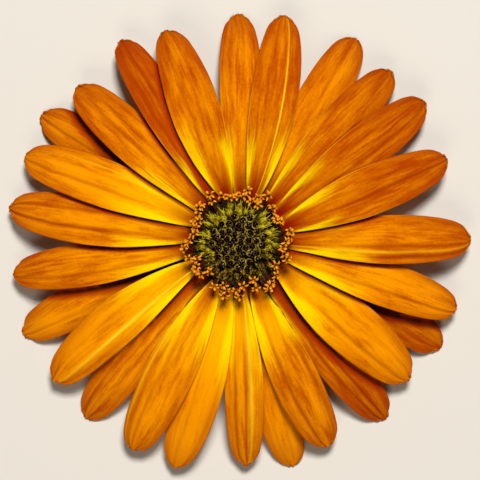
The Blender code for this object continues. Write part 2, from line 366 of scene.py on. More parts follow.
def strap_cage(name, node, fuller=(0.0, 0.0)):
    """A coarse sheet of four-sided faces through the middle of a petal's or a bract's solid.

    The two numbers of fuller widen its inner half on the clockwise and on the other side, in millimetres.
    """
    corners = triangles_of(node)
    length, claw, direction, bend = strap_spine(corners)
    normal = np.array([-direction[1], direction[0]])
    points, along, across, tilt = [], [], [], []
    for station in range(STATIONS + 1):
        share = 1 - (1 - station / STATIONS) ** TIP_CROWDING
        place = END_INSET + share * (length - 2 * END_INSET)
        centre = claw + place * direction + np.polyval(bend, place) * normal
        outward = direction + np.polyval(np.polyder(bend), place) * normal
        outward /= np.linalg.norm(outward)
        sideways = np.array([-outward[1], outward[0]])
        cut = section(corners, centre, outward)
        low, high = cut[:, :, 0].min(), cut[:, :, 0].max()
        # The higher its power, the nearer to the strap's end each of these three acts.
        fullness = 1 + FOOT_FULLNESS * (1 - share) ** 6 + TIP_FULLNESS * share**8 + TIP_ROUNDNESS * share**40
        swell = math.sin(math.pi * share**SWELL_SKEW) ** SWELL_SHARPNESS * MM
        middle, half = (low + high) / 2, (high - low) / 2
        rise = middle_height(cut, middle + TILT_SPAN * half) - middle_height(cut, middle - TILT_SPAN * half)
        for column in range(COLUMNS + 1):
            side = 2 * column / COLUMNS - 1
            extra = swell * (max(side, 0) * fuller[1] - max(-side, 0) * fuller[0])
            spot = centre + sideways * (middle + fullness * side * half + extra)
            points.append((*spot, middle_height(cut, middle + EDGE_SPAN * side * half)))
            along.append(share)
            across.append(side)
            tilt.append(rise / 2)
    width = COLUMNS + 1
    faces = []
    for row in range(STATIONS):
        for column in range(COLUMNS):
            corner = row * width + column
            faces.append((corner, corner + width, corner + width + 1, corner + 1))
    mesh = bpy.data.meshes.new(name)
    mesh.from_pydata(points, [], faces)
    keep_values(mesh, along=along, across=across, tilt=tilt)
    keep_vector(mesh, "outward", (*direction, 0.0))
    return mesh


def keep_values(mesh, **values):
    """Stores numbers on the mesh's points, one list or one number for each name."""
    for name, numbers in values.items():
        layer = mesh.attributes.new(name, "FLOAT", "POINT")
        layer.data.foreach_set("value", np.broadcast_to(np.float32(numbers), len(mesh.vertices)).copy())


def keep_vector(mesh, name, vector):
    layer = mesh.attributes.new(name, "FLOAT_VECTOR", "POINT")
    layer.data.foreach_set("vector", np.tile(np.float32(vector), len(mesh.vertices)))


petal_nodes = sorted(name for name in nodes if name.startswith("ray_petal"))
print("ray petals to dress:", len(petal_nodes))

# %% [markdown]
# Geometry Nodes then grow the fine petal from the cage, because its form follows a rule that all the petals
# share. The cage is subdivided until it is smooth. Grooves, ridges and veins are sums of smooth bumps drawn
# in the across coordinate, so they run together at the tip as they do in life. Noise ripples the edges, and
# teeth are pulled out at the tip. A petal that leans over its neighbour leans a little more than the plain
# one, and a low petal sags a little in the middle, so the upper ones lay clear shadows. Last the sheet is
# given its thickness: the same faces are pushed down, turned over and welded to the upper ones along the rim.


# %% The rule of a ray petal
def furrow_pattern(tree, along, across, seed):
    """How deep a point lies in one of the petal's two furrows, from 0 to 1."""
    wander = tree.noise(tree.vector(along * 2.5, seed + 5.0), 1.0) - 0.5
    place = across + wander * 0.22
    first = tree.ridge(place, tree.attribute("furrow_one"), 0.09) * tree.attribute("depth_one")
    second = tree.ridge(place, tree.attribute("furrow_two"), 0.09) * tree.attribute("depth_two")
    return (first + second) * tree.step(along, 0.05, 0.60)


def petal_relief(tree, along, across, seed):
    """Height of the petal's surface above its smooth sheet, in metres."""
    side = tree.math("ABSOLUTE", across)
    grain = tree.noise(tree.vector(across * 1.5, along * 3.0, seed), 1.0)
    onset = tree.step(along, 0.02, 0.40)
    furrows = furrow_pattern(tree, along, across, seed) * tree.value("Furrow depth")
    keel = tree.ridge(across, 0.0, 0.20) * tree.value("Keel height") * onset
    veins = tree.sin(across * 26.0 + grain * 16.0) * tree.value("Vein height") * onset
    ripple = tree.noise(tree.vector(side * 0.8, along * 5.0, seed + 9.0), 1.0) - 0.5
    edge = side * side * ripple * tree.value("Ripple height")
    swell = tree.noise(tree.vector(across * 1.1, along * 2.2, seed + 14.0), 1.0) - 0.5
    crease = tree.ridge(across, tree.attribute("crease"), tree.attribute("crease_width"))
    crease = crease * tree.attribute("crease_strength") * tree.value("Crease height")
    return keel + veins + edge - furrows + crease + swell * tree.value("Swell height")


def petal_tree():
    tree = GeometryTree("ray petal")
    seed = tree.value("Seed")
    along, across = tree.attribute("along"), tree.attribute("across")
    normal = tree.node("GeometryNodeInputNormal")
    relief = tree.scaled(normal, petal_relief(tree, along, across, seed))
    sheet = tree.moved(tree.subdivided_cage(), relief)
    lean = across * tree.attribute("tilt") * tree.value("Extra lean")
    sag = tree.sin(along * math.pi) * tree.value("Sag")
    sheet = tree.moved(sheet, tree.vector(z=lean - sag))
    teeth = tree.cos(across * 3.0 * math.pi) * tree.value("Tooth length")
    rounding = across * across * tree.value("Tip rounding")
    pull = (teeth - rounding) * tree.step(along, 0.90, 1.0)
    sheet = tree.moved(sheet, tree.scaled(tree.attribute("outward", "FLOAT_VECTOR"), pull))
    return tree.finish(tree.thickened(sheet))


petal_rule = petal_tree()

# %% [markdown]
# The petal's colour is drawn in the same two coordinates. It is orange, deeper in the furrows and lighter on
# the ridges. Both margins turn bright yellow over the inner part, a rusty red strip runs up from the disc
# between them, the rim has a thin line that is a painted highlight at first and brown further out, and the
# teeth are rust brown. The outer margins and the tip turn deeper orange, partly their own colour and partly
# painted shade from their curve. The dark heel at the claw is partly the petal's colour and partly painted
# shade under the disc, deepest on the south side of the head. Beside the edges of the petals above lies a
# band of painted shade. The colours are written as they would be on a screen, and a small function turns
# them into the linear values that light needs. A finish is built up in coats: each lays one colour over the
# colour so far.


# %% Colours
def paint(red, green, blue):
    """A screen colour, 0 to 255, as the linear colour of a shader, with full alpha."""
    return (*((value / 255) ** 2.2 for value in (red, green, blue)), 1.0)


class Finish(Tree):
    """A material's shader tree, around its Principled shader."""

    def __init__(self, name, **constants):
        self.material = bpy.data.materials.new(name)
        self.material.use_nodes = True
        super().__init__(self.material.node_tree)
        self.shader = self.tree.nodes["Principled BSDF"]
        self.colour = None
        for label, value in constants.items():
            self.shader.inputs[label.replace("_", " ")].default_value = value

    def attribute(self, name):
        settings = {"attribute_type": "GEOMETRY", "attribute_name": name}
        return self.node("ShaderNodeAttribute", settings).out("Fac")

    def place(self):
        return self.node("ShaderNodeTexCoord").out("Object")

    def grain(self, scale, detail=2.0):
        """A cloudy pattern that stands still on the piece."""
        return self.noise(self.place(), scale, detail)

    def coat(self, red, green, blue, share):
        """Lays a screen colour over the colour so far, as strongly as share says."""
        self.colour = self.blend(self.colour, paint(red, green, blue), share)

    def done(self, roughness, relief, depth):
        """Feeds the shader its colour, its roughness and a relief that is depth metres deep."""
        bump = {"Height": relief * depth, "Strength": 1.0, "Distance": 1.0}
        bump = self.node("ShaderNodeBump", inputs=bump)
        for socket, wire in (("Base Color", self.colour), ("Roughness", roughness), ("Normal", bump)):
            self.tree.links.new(wire.socket, self.shader.inputs[socket])
        print(self.material.name, "finish:", len(self.tree.nodes), "nodes")
        return self.material


print("helpers: paint and Finish")

# %% Petal finish
DISC_REACH = 8.0 * MM


def petal_finish():
    skin = Finish("petal", Specular_IOR_Level=0.3, Specular_Tint=paint(255, 150, 30))
    along, across = skin.attribute("along"), skin.attribute("across")
    seed, tone = skin.attribute("seed"), skin.attribute("tone")
    side = skin.math("ABSOLUTE", across)
    drift = skin.noise(skin.vector(across * 1.3, along * 5.0, seed + 21.0), 1.0) - 0.5
    bent = across + drift * 0.3
    strokes = skin.noise(skin.vector(bent * 5.0, along * 5.0, seed), 1.0, detail=3.5, roughness=0.6)
    streaks = skin.noise(skin.vector(bent * 13.0, along * 6.0, seed), 1.0, detail=3.0, roughness=0.55)
    threads = skin.noise(skin.vector(across * 60.0, along * 30.0, seed), 1.0, detail=2.0)
    clouds = skin.noise(skin.vector(across * 1.6, along * 4.0, seed + 3.0), 1.0)
    cells = skin.grain(2600.0, 3.0)

    # The mottled orange of the whole face, after the petal's tone, which is partly painted light. Darker in
    # the furrows, and deeper towards the outer margins and the tip: partly its own colour, partly painted
    # shade from the curve.
    mottle = strokes * 0.60 + streaks * 0.35 + clouds * 0.55 + cells * 0.20 + (tone - 0.5) * 0.22 + 0.005
    light = skin.step(mottle, 0.56, 1.06)
    skin.colour = skin.blend(paint(180, 68, 0), paint(255, 156, 0), light)
    skin.coat(166, 62, 0, (1.0 - tone) * 0.40 - 0.10)
    golden = (1.0 - skin.step(along, 0.15, 0.65)) * (0.15 + tone * 0.85) * (0.4 + clouds)
    skin.coat(255, 190, 2, golden * (0.34 + light * 0.50))
    # Painted shade from the curve, over some deeper orange of the petal's own, at the outer margins and tip.
    edge = skin.step(side, 0.35, 1.0) * skin.step(along, 0.35, 0.80)
    skin.coat(156, 52, 0, edge * (0.25 + clouds * 0.5))
    skin.coat(156, 52, 0, skin.step(along, 0.80, 1.0) * 0.30)
    furrow = furrow_pattern(skin, along, across, seed)
    skin.coat(140, 38, 0, furrow * (0.40 + streaks * 0.6))

    # The inner part: a red strip, yellow margins and a dark heel. The heel is partly the petal's colour and
    # partly painted shade under the disc, and it is deepest on the south side of the head as the disc's
    # painted shadow.
    strip = (1.0 - skin.step(along, 0.02, 0.24)) * (1.0 - skin.step(side, 0.25, 0.90))
    skin.coat(150, 24, 0, strip * (1.0 - tone * 0.3))
    reach = 0.34 + tone * 0.12 + (clouds - 0.5) * 0.3 + (streaks - 0.5) * 0.3
    inner = 1.0 - skin.step(along, reach * 0.35, reach * 1.2)
    onset = 0.66 - skin.step(along, 0.05, 0.30) * 0.32
    margin = skin.step(side + (streaks - 0.5) * 0.30, onset, onset + 0.34)
    skin.coat(255, 224, 8, inner * margin * skin.step(along, 0.02, 0.11))
    # Painted shadow of the disc, deepest on the petals' feet on the south side of the head.
    south = skin.part(skin.place(), "Y") / -DISC_REACH
    heel = 1.0 - skin.step(along, 0.0, 0.10)
    skin.coat(118, 16, 0, heel * (0.55 + skin.step(south, 0.2, 0.9) * 0.35))

    # The rim, whose light line is a painted highlight, the tip, the crease and the painted shade beside the
    # petals above.
    rim = skin.step(side, 0.945, 0.985) * skin.step(along, 0.1, 0.3)
    rim_highlight_and_colour = skin.blend(paint(255, 186, 44), paint(150, 56, 4), skin.step(along, 0.40, 0.70))
    skin.colour = skin.blend(skin.colour, rim_highlight_and_colour, rim * 0.5)
    tip = skin.step(along + side * 0.012, 0.985, 1.01) * (0.3 + streaks * 0.8)
    skin.coat(116, 36, 4, tip)
    crease = skin.ridge(across, skin.attribute("crease"), skin.attribute("crease_width"))
    crease = crease * skin.attribute("crease_strength")
    crease = crease * (1.0 - skin.step(along, 0.45, 1.0) * 0.6) * (0.5 + clouds)
    skin.coat(255, 214, 40, crease)
    # Painted shade beside the edges of the petals above: deep red, then near black.
    covered = skin.attribute("covered") * skin.attribute("shade")
    skin.coat(160, 40, 0, skin.step(covered, 0.18, 0.60) * 0.85)
    skin.coat(60, 6, 2, skin.step(covered, 0.52, 0.92) * 0.95)
    skin.coat(206, 120, 40, skin.attribute("underside") * 0.6)
    return skin.done(0.42 + streaks * 0.25, threads + strokes * 1.5 + cells * 0.8, 0.05 * MM)


petal_skin = petal_finish()

# %% [markdown]
# No two petals of a head are alike. Each has its own tone, from deep orange near 0 to golden near 1, partly
# the petal's own colour and partly painted light, set higher on the south side of the head. Each also has
# its own two furrows, given by their places across the petal and their depths.
# Six petals also carry one yellow crease. The others get theirs placed far outside the petal, where it has no
# effect. Shade says how strongly a petal darkens beside the ones above it, and fuller lets a few petals
# spread a little more on one side or both. A seed for each petal gives it its own veins and mottling.


# %% What sets each petal apart
class Look(NamedTuple):
    """What sets one petal apart from the next."""

    tone: float
    furrow_one: float
    depth_one: float
    furrow_two: float
    depth_two: float
    crease: float = 9.0
    crease_strength: float = 0.0
    crease_width: float = 0.04
    shade: float = 1.0
    fuller: tuple = (0.0, 0.0)


LOOK_VALUES = Look._fields[:-1]
LOOKS = (
    Look(0.35, 0.45, 0.2, -0.20, 0.3, shade=0.2),
    Look(0.22, 0.35, 0.4, -0.30, 0.4, fuller=(0.0, 1.15)),
    Look(-0.32, 0.50, 0.6, -0.05, 0.6),
    Look(0.28, 0.10, 0.5, -0.35, 0.5),
    Look(0.42, 0.25, 0.7, -0.30, 0.4, shade=1.3),
    Look(0.88, 0.25, 0.6, -0.30, 0.2, -0.62, 0.35),
    Look(0.48, 0.35, 1.0, -0.40, 0.7),
    Look(0.48, 0.40, 0.5, -0.10, 0.3, shade=1.3),
    Look(0.80, 0.30, 0.4, -0.50, 0.3, shade=1.15),
    Look(1.00, 0.75, 0.3, -0.30, 0.2, 0.42, 1.0, 0.08, fuller=(0.0, 0.2)),
    Look(0.55, 0.30, 0.3, -0.40, 0.5, shade=0.8),
    Look(0.70, -0.30, 0.5, -0.65, 0.4, -0.86, 0.5, fuller=(0.3, 0.35)),
    Look(1.25, 0.75, 0.3, -0.20, 0.2, shade=0.3),
    Look(0.90, 0.05, 0.9, -0.50, 0.9, 0.37, 0.8, 0.11, shade=0.3),
    Look(1.15, 0.20, 0.3, -0.40, 0.3, shade=0.75),
    Look(0.60, 0.75, 0.6, -0.35, 0.9),
    Look(0.05, -0.04, 1.0, -0.46, 1.0),
    Look(0.85, 0.30, 0.2, -0.35, 0.6, fuller=(0.9, 0.0)),
    Look(0.20, 0.30, 0.3, -0.30, 0.5, shade=1.5),
    Look(0.75, 0.30, 0.2, -0.35, 0.6),
    Look(0.30, -0.74, 1.0, -0.30, 0.7, -0.52, 0.45, 0.06),
    Look(0.00, 0.30, 0.4, -0.10, 0.8, fuller=(0.0, 0.7)),
    Look(-0.02, 0.40, 0.3, -0.35, 0.4),
    Look(0.10, 0.20, 0.2, -0.50, 0.2),
    Look(0.35, 0.10, 0.3, -0.50, 0.2, shade=0.15),
    Look(0.12, 0.30, 0.3, -0.55, 0.3, -0.38, 0.8, fuller=(0.2, 0.3)),
)
print("looks:", len(LOOKS))

# %% Grow the petals
PETAL_FORM = {
    "Fineness": 2,
    "Furrow_depth": 0.16 * MM,
    "Keel_height": 0.04 * MM,
    "Vein_height": 0.010 * MM,
    "Ripple_height": 0.6 * MM,
    "Swell_height": 0.45 * MM,
    "Crease_height": 0.14 * MM,
    "Extra_lean": 0.35,
    "Tooth_length": 0.035 * MM,
    "Tip_rounding": 0.40 * MM,
    "Thickness": 0.2 * MM,
}
LOW_TIP = 1.5 * MM
LOW_SAG = 0.35 * MM
SEED_STEP = 3.7


def is_low(name):
    """Whether this is one of the petals that lie below the others."""
    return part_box(name)[0][2] < LOW_TIP


def grow_petal(number, name):
    look, seed = LOOKS[number], SEED_STEP * number
    mesh = strap_cage(name + "_fine", nodes[name], look.fuller)
    keep_values(mesh, seed=seed, **{label: getattr(look, label) for label in LOOK_VALUES})
    sag = LOW_SAG if is_low(name) else 0.0
    return grown(name + "_fine", mesh, petal_rule, Sag=sag, Seed=seed, Material=petal_skin, **PETAL_FORM)


petals = [grow_petal(number, name) for number, name in enumerate(petal_nodes)]
print("petals:", len(petals), "with", sum(len(petal.data.polygons) for petal in petals), "faces")

# %% [markdown]
# A living petal glows, because light comes through it from behind and passes on inside it. Beside the edge
# of a neighbour that lies on top, and mostly where that neighbour stands on the side the daylight comes from,
# that glow would be gone, so a painted shade, deep red to near black, is laid there. A surface shader has no
# knowledge of neighbours, so the level distance and the side of the petals above are measured here and kept
# on each point. A low petal lies further below its neighbours, so its band of painted shade is wider.

# %% Measure the painted shade that the petals above lay on each petal
NEIGHBOURS = (-2, -1, 1, 2)
COVER_REACH, LOW_COVER_REACH = 1.05 * MM, 2.4 * MM
COVER_SEARCH = 3.5 * MM
PROBE_STEP = 7
UP = Vector((0, 0, 1))
DAYLIGHT = Vector((0.17, 0.98))


def search_tree(petal):
    points = [vertex.co for vertex in petal.data.vertices]
    return BVHTree.FromPolygons(points, [face.vertices for face in petal.data.polygons])


def lies_over(upper, points):
    """Whether a petal passes over any of these points."""
    return any(upper.ray_cast(point, UP)[0] for point in points)


def shaded_share(point, upper, reach):
    """1 beside the edge of a petal above that stands on the daylight's side, falling to 0 at reach."""
    spot = upper.find_nearest(point, COVER_SEARCH)[0]
    if spot is None:
        return 0.0
    towards = (spot - point).to_2d()
    facing = towards.dot(DAYLIGHT) / max(towards.length, ONE_PLACE)
    return max(1 - towards.length / reach, 0.0) * min(max(0.5 + facing, 0.0), 1.0)


# Stores on each petal's points how much painted shade the petals above lay on them.
def keep_cover_shade():
    trees = [search_tree(petal) for petal in petals]
    for number, petal in enumerate(petals):
        points = [vertex.co for vertex in petal.data.vertices]
        nearby = [trees[(number + step) % len(petals)] for step in NEIGHBOURS]
        above = [tree for tree in nearby if lies_over(tree, points[::PROBE_STEP])]
        reach = LOW_COVER_REACH if is_low(petal_nodes[number]) else COVER_REACH
        shares = [max((shaded_share(point, tree, reach) for tree in above), default=0.0) for point in points]
        keep_values(petal.data, covered=shares)


keep_cover_shade()
for name, petal in zip(petal_nodes, petals):
    put_in_place(petal, name)
print("petals measured against their neighbours")

# %% [markdown]
# ## The disc
#
# The middle of the head isn't one thing. It is more than a hundred small florets, and they open from the rim
# inwards. In the middle are round buds, nearly black, each in a green sleeve. Around them stand pointed
# green florets that are about to open. The outer ones are open: dark tubes that lean out over the petals,
# each with a crown of curled orange lobes.
#
# All of them follow one rule. Each new floret sits a golden angle, about 137.5 degrees, round from the last,
# and at a distance that grows with the square root of its rank, which spaces them evenly. Their feet are
# packed on the dome of the receptacle, and the further out they stand the more they lean.
#
# Each floret is a tube, so it can be rolled from a flat grid. One grid coordinate, turn, goes round the tube.
# The other, rise, runs from the foot up the outside, over the mouth and into the middle, where it closes.
# Two curves of rise give the tube's radius and its place along a bent axis. The grid is copied to every
# floret with the floret's rank on it, and then all points are moved at once.

# %% Grids that know their place on the spiral
GOLDEN_ANGLE = math.pi * (3 - math.sqrt(5))
FULL_TURN = 2 * math.pi
BUDS, CLOSED, OPEN = 46, 52, 50
FLORETS = BUDS + CLOSED + OPEN
FEET_REACH = 5.5 * MM
DOME_TOP = 7.5 * MM
DOME_FALL = 0.8 * MM
DOME_RADIUS = 5.9 * MM
FOOT_DEPTH = 0.25 * MM
AZIMUTH_SCATTER = 0.10
FOOT_LEAN = 0.7
LEAST_BEND = 0.01


def rolled_grid(tree, around, rings):
    """A flat grid that knows its two coordinates, ready to be rolled up."""
    size = {"Size X": 1.0, "Size Y": 1.0, "Vertices X": around + 1, "Vertices Y": rings + 1}
    grid = tree.node("GeometryNodeMeshGrid", inputs=size)
    spot = tree.node("GeometryNodeInputPosition")
    grid = tree.store(grid, "turn", tree.part(spot, "X") + 0.5)
    return tree.store(grid, "rise", tree.part(spot, "Y") + 0.5)


class FloretTree(GeometryTree):
    """A geometry tree whose start is one grid for each floret, or several."""

    def __init__(self, name, first, count, around, rings, each=1):
        super().__init__(name)
        grid = rolled_grid(self, around, rings)
        points = {"Count": count * each, "Offset": (0.0, 0.0, 0.0)}
        points = self.node("GeometryNodeMeshLine", inputs=points)
        number = self.node("GeometryNodeInputIndex")
        whole = self.math("FLOOR", (number + 0.5) / each)
        points = self.store(points, "rank", whole + first)
        points = self.store(points, "member", number - whole * each)
        copies = {"Points": points, "Instance": grid}
        copies = self.node("GeometryNodeInstanceOnPoints", inputs=copies)
        self.grids = self.node("GeometryNodeRealizeInstances", inputs={"Geometry": copies})
        self.turn = self.attribute("turn") * FULL_TURN
        self.rise = self.attribute("rise")
        self.rank = self.attribute("rank")
        self.member = self.attribute("member")
        self.reach = ((self.rank + 0.5) / FLORETS) ** 0.5
        self.azimuth = self.rank * GOLDEN_ANGLE + self.scatter(0.3, AZIMUTH_SCATTER)

    def luck(self, salt):
        """A number between 0 and 1 that differs from floret to floret."""
        return self.chance(self.rank, salt)

    def scatter(self, salt, spread):
        """A number of that kind around 0."""
        return (self.luck(salt) - 0.5) * spread

    def axis(self, share, length, lean, sway):
        """A floret's bent axis after this share of its length: outward, sideways, up, and its tilt."""
        foot = self.reach * FEET_REACH
        ground = DOME_TOP - FOOT_DEPTH - DOME_FALL * (foot / DOME_RADIUS) ** 2
        start, bend = lean * FOOT_LEAN, lean * (1 - FOOT_LEAN) + LEAST_BEND
        tilt = start + bend * share
        outward = foot + length / bend * (self.cos(start) - self.cos(tilt))
        height = ground + length / bend * (self.sin(tilt) - self.sin(start))
        sideways = self.scatter(0.7, sway) * share * share
        return outward, sideways, height, tilt

    def placed(self, outward, sideways, height):
        """Moves the grids' points there and welds every seam and pole."""
        cosine, sine = self.cos(self.azimuth), self.sin(self.azimuth)
        east = outward * cosine - sideways * sine
        north = outward * sine + sideways * cosine
        moved = {"Geometry": self.grids, "Position": self.vector(east, north, height)}
        return self.welded(self.node("GeometryNodeSetPosition", inputs=moved))


def tube(tree, share, radius, length, lean, sway):
    """Rolls each floret's grid into a tube round its bent axis."""
    outward, sideways, height, tilt = tree.axis(share, length, lean, sway)
    spread = radius * tree.cos(tree.turn)
    outward = outward + spread * tree.cos(tilt)
    height = height - spread * tree.sin(tilt)
    return tree.placed(outward, sideways + radius * tree.sin(tree.turn), height)


def grow_in_place(name, node, slot, tree, **values):
    """Runs a tree that makes its own grids, and puts the result in the place of one node."""
    piece = grown(name, bpy.data.meshes.new(name), tree, **values)
    put_in_place(piece, node)
    print(name, "faces:", len(piece.data.polygons))


print("florets:", FLORETS)

# %% [markdown]
# A bud is a green sleeve with a dark, shining head of five lobes that are still folded together. The sleeve
# ends in a rim that stands a little wider on one side, so from above it shows as a lime crescent.

# %% The rule of a bud
BUD_OUTLINE = (
    (0, 0, 0), (0.05, 0, 0.5), (0.35, 0.5, 0.78), (0.52, 0.80, 0.98), (0.60, 0.88, 0.92), (0.66, 0.85, 0.66),
    (0.75, 0.95, 0.78), (0.85, 1.04, 0.64), (0.93, 1.09, 0.36), (1, 1.11, 0),
)
BUD_SWAY = 0.3 * MM


def bud_tree():
    tree = FloretTree("disc bud", 0, BUDS, around=20, rings=16)
    head = tree.step(tree.rise, 0.64, 0.70)
    rim = tree.ridge(tree.rise, 0.58, 0.07)
    phase = tree.luck(1.1) * FULL_TURN
    lobes = tree.cos(tree.turn * 5.0 + phase) * head * 0.14
    lopsided = tree.cos(tree.turn - phase) * rim * 0.30
    size = 0.50 * MM + tree.luck(2.3) * 0.07 * MM
    share, radius = tree.outline(tree.rise, BUD_OUTLINE)
    radius = radius * size * (1.0 + lobes + lopsided)
    lean = 0.03 + tree.reach * tree.reach * tree.value("Lean")
    length = tree.value("Length") + tree.scatter(3.1, 0.25 * MM)
    return tree.finish(tube(tree, share, radius, length, lean, BUD_SWAY))


bud_rule = bud_tree()


# %% Bud finish
def bud_finish():
    skin = Finish("bud", Specular_IOR_Level=0.12)
    rise = skin.attribute("rise")
    grain = skin.grain(2600.0, 3.0)
    sleeve = skin.blend(paint(56, 32, 4), paint(116, 96, 12), skin.step(rise + grain * 0.4, 0.50, 0.86))
    lime = skin.ridge(rise, 0.58, 0.05) * skin.step(grain, 0.42, 0.66)
    sleeve = skin.blend(sleeve, paint(188, 178, 44), lime * 0.8)
    head = skin.blend(paint(8, 1, 4), paint(52, 12, 20), grain * grain)
    # Painted glints: pale spots on the tips of the five folded lobes, beside the real gloss of the head.
    phase = skin.chance(skin.attribute("rank"), 1.1) * FULL_TURN
    folds = skin.cos(skin.attribute("turn") * 5.0 * FULL_TURN + phase)
    patch = skin.step(skin.grain(1400.0), 0.46, 0.58)
    glints = skin.step(folds, 0.60, 0.95) * skin.ridge(rise, 0.86, 0.030) * patch
    head = skin.blend(head, paint(226, 196, 196), glints)
    dark = skin.step(rise, 0.625, 0.66)
    skin.colour = skin.blend(sleeve, head, dark)
    return skin.done(0.50 - dark * 0.36 + grain * 0.04, grain * (1.0 - dark * 0.9), 0.04 * MM)


bud_skin = bud_finish()

# %% Grow the buds
bud_form = {"Length": 2.6 * MM, "Lean": 1.35, "Material": bud_skin}
grow_in_place("disc_buds_fine", "disc_buds", "bud", bud_rule, **bud_form)

# %% [markdown]
# The florets that are about to open are taller, bright yellow-green and pointed, with five folds. They lean
# outwards, so their inner flank faces up. Some already show the dark colour at the tip.


# %% Closed floret finish
def closed_finish():
    skin = Finish("closed floret", Specular_IOR_Level=0.35)
    rise = skin.attribute("rise")
    grain = skin.grain(1500.0, 4.0)
    north = skin.part(skin.place(), "Y") / DOME_RADIUS
    light = skin.step(rise * 0.35 + grain * 0.9 + north * 0.26, 0.43, 0.83)
    skin.colour = skin.blend(paint(82, 46, 6), paint(214, 198, 44), light)
    late = skin.step(skin.chance(skin.attribute("rank"), 8.9), 0.45, 0.55)
    dark = skin.step(rise + grain * 0.1, 0.88, 0.98) * late
    skin.coat(50, 14, 16, dark)
    return skin.done(0.45 + grain * 0.2, grain, 0.05 * MM)


closed_skin = closed_finish()

# %% [markdown]
# Most of these florets have started to part at the top, into five pointed green teeth. A tooth is a small
# lobe: its own grid, rolled round a spine that starts at the mouth and bends away from the floret's axis. The
# open florets need the same thing later, with other numbers, so it is a function that takes a form.

# %% The rule of a ring of lobes
LOBES = 5
LOBE_SCATTER = 0.7
LEAST_SPAN, MORE_SPAN = 0.65, 0.6


class LobeForm(NamedTuple):
    """How the lobes of one kind of floret stand and bend."""

    mouth_share: float
    mouth_radius: float
    first_bend: float
    least_curl: float
    more_curl: float
    thickness: float
    breadth: float
    base_crowding: float
    roundness: float


def lobe_ring(tree, form, length, lean, sway):
    """Five lobes round the mouth of each floret."""
    outward, sideways, height, tilt = tree.axis(form.mouth_share, length, lean, sway)
    which = tree.rank * LOBES + tree.member
    luck = tree.chance(which, 11.3)
    around = (tree.member + tree.luck(12.9) + luck * LOBE_SCATTER) * (FULL_TURN / LOBES)
    curl = form.least_curl + (luck + tree.luck(14.1)) * 0.5 * form.more_curl
    span = tree.value("Lobe length") * (LEAST_SPAN + MORE_SPAN * tree.chance(which, 13.7))
    bend = form.first_bend + curl * tree.rise
    away = form.mouth_radius + span / curl * (math.cos(form.first_bend) - tree.cos(bend))
    ahead = span / curl * (tree.sin(bend) - math.sin(form.first_bend))
    taper = tree.sin(tree.rise ** form.base_crowding * math.pi) ** form.roundness
    thick = tree.cos(tree.turn) * taper * form.thickness
    broad = tree.sin(tree.turn) * taper * form.breadth
    away = away + thick * tree.cos(bend)
    ahead = ahead - thick * tree.sin(bend)
    cosine, sine = tree.cos(around), tree.sin(around)
    spread = away * cosine - broad * sine
    outward = outward + spread * tree.cos(tilt) + ahead * tree.sin(tilt)
    height = height - spread * tree.sin(tilt) + ahead * tree.cos(tilt)
    return tree.placed(outward, sideways + away * sine + broad * cosine, height)


print("lobes on a floret:", LOBES)

# %% The rules of a closed floret and its teeth
CLOSED_OUTLINE = (
    (0, 0, 0), (0.05, 0, 0.6), (0.4, 0.42, 0.86), (0.6, 0.64, 0.92), (0.75, 0.80, 0.66), (0.9, 0.94, 0.26),
    (1, 1, 0),
)
TEETH = LobeForm(
    mouth_share=0.62, mouth_radius=0.27 * MM, first_bend=-0.20, least_curl=0.3, more_curl=0.9,
    thickness=0.05 * MM, breadth=0.11 * MM, base_crowding=0.45, roundness=0.9,
)
CLOSED_SWAY = 0.9 * MM


def closed_stance(tree):
    """A closed floret's length and lean."""
    return tree.value("Length") + tree.scatter(6.1, 0.5 * MM), tree.value("Lean") + tree.scatter(7.3, 0.3)


def closed_tree():
    tree = FloretTree("closed floret", BUDS, CLOSED, around=20, rings=14)
    phase = tree.luck(4.7) * FULL_TURN
    folds = tree.math("ABSOLUTE", tree.sin(tree.turn * 2.5 + phase)) * 0.50
    size = 0.38 * MM + tree.luck(5.9) * 0.14 * MM
    share, radius = tree.outline(tree.rise, CLOSED_OUTLINE)
    return tree.finish(tube(tree, share, radius * size * (1.15 - folds), *closed_stance(tree), CLOSED_SWAY))


def teeth_tree():
    tree = FloretTree("closed floret teeth", BUDS, CLOSED, around=6, rings=7, each=LOBES)
    return tree.finish(lobe_ring(tree, TEETH, *closed_stance(tree), CLOSED_SWAY))


closed_rule, teeth_rule = closed_tree(), teeth_tree()

# %% Grow the closed florets
closed_form = {"Length": 2.9 * MM, "Lean": 0.52, "Material": closed_skin}
closed_place = ("disc_florets_closed", "closed_floret")
grow_in_place("disc_florets_closed_fine", *closed_place, closed_rule, **closed_form)
grow_in_place("disc_closed_teeth_fine", *closed_place, teeth_rule, Lobe_length=1.60 * MM, **closed_form)

# %% [markdown]
# An open floret is a narrow tube, green at the foot and purple-black above. It ends in a crown: five thick
# lobes that curl back from the mouth, around a short dark column that carries the pollen. The tube and its
# column are one rolled grid. The lobes are five more for each floret, each rolled round a spine that curls
# away from the tube's axis.

# %% The rules of an open floret and its crown
OPEN_OUTLINE = (
    (0, 0, 0), (0.04, 0, 0.6), (0.15, 0.25, 0.80), (0.3, 0.52, 0.82), (0.45, 0.74, 0.86), (0.55, 0.82, 0.98),
    (0.60, 0.835, 0.88), (0.66, 0.77, 0.50), (0.72, 0.83, 0.42), (0.80, 0.90, 0.52), (0.90, 0.97, 0.56),
    (0.96, 1.01, 0.38), (1, 1.02, 0),
)
CROWN = LobeForm(
    mouth_share=0.82, mouth_radius=0.20 * MM, first_bend=0.25, least_curl=2.3, more_curl=1.6,
    thickness=0.08 * MM, breadth=0.16 * MM, base_crowding=0.7, roundness=0.6,
)
OPEN_SWAY = 1.5 * MM
OPEN_RADIUS_MM = 0.36


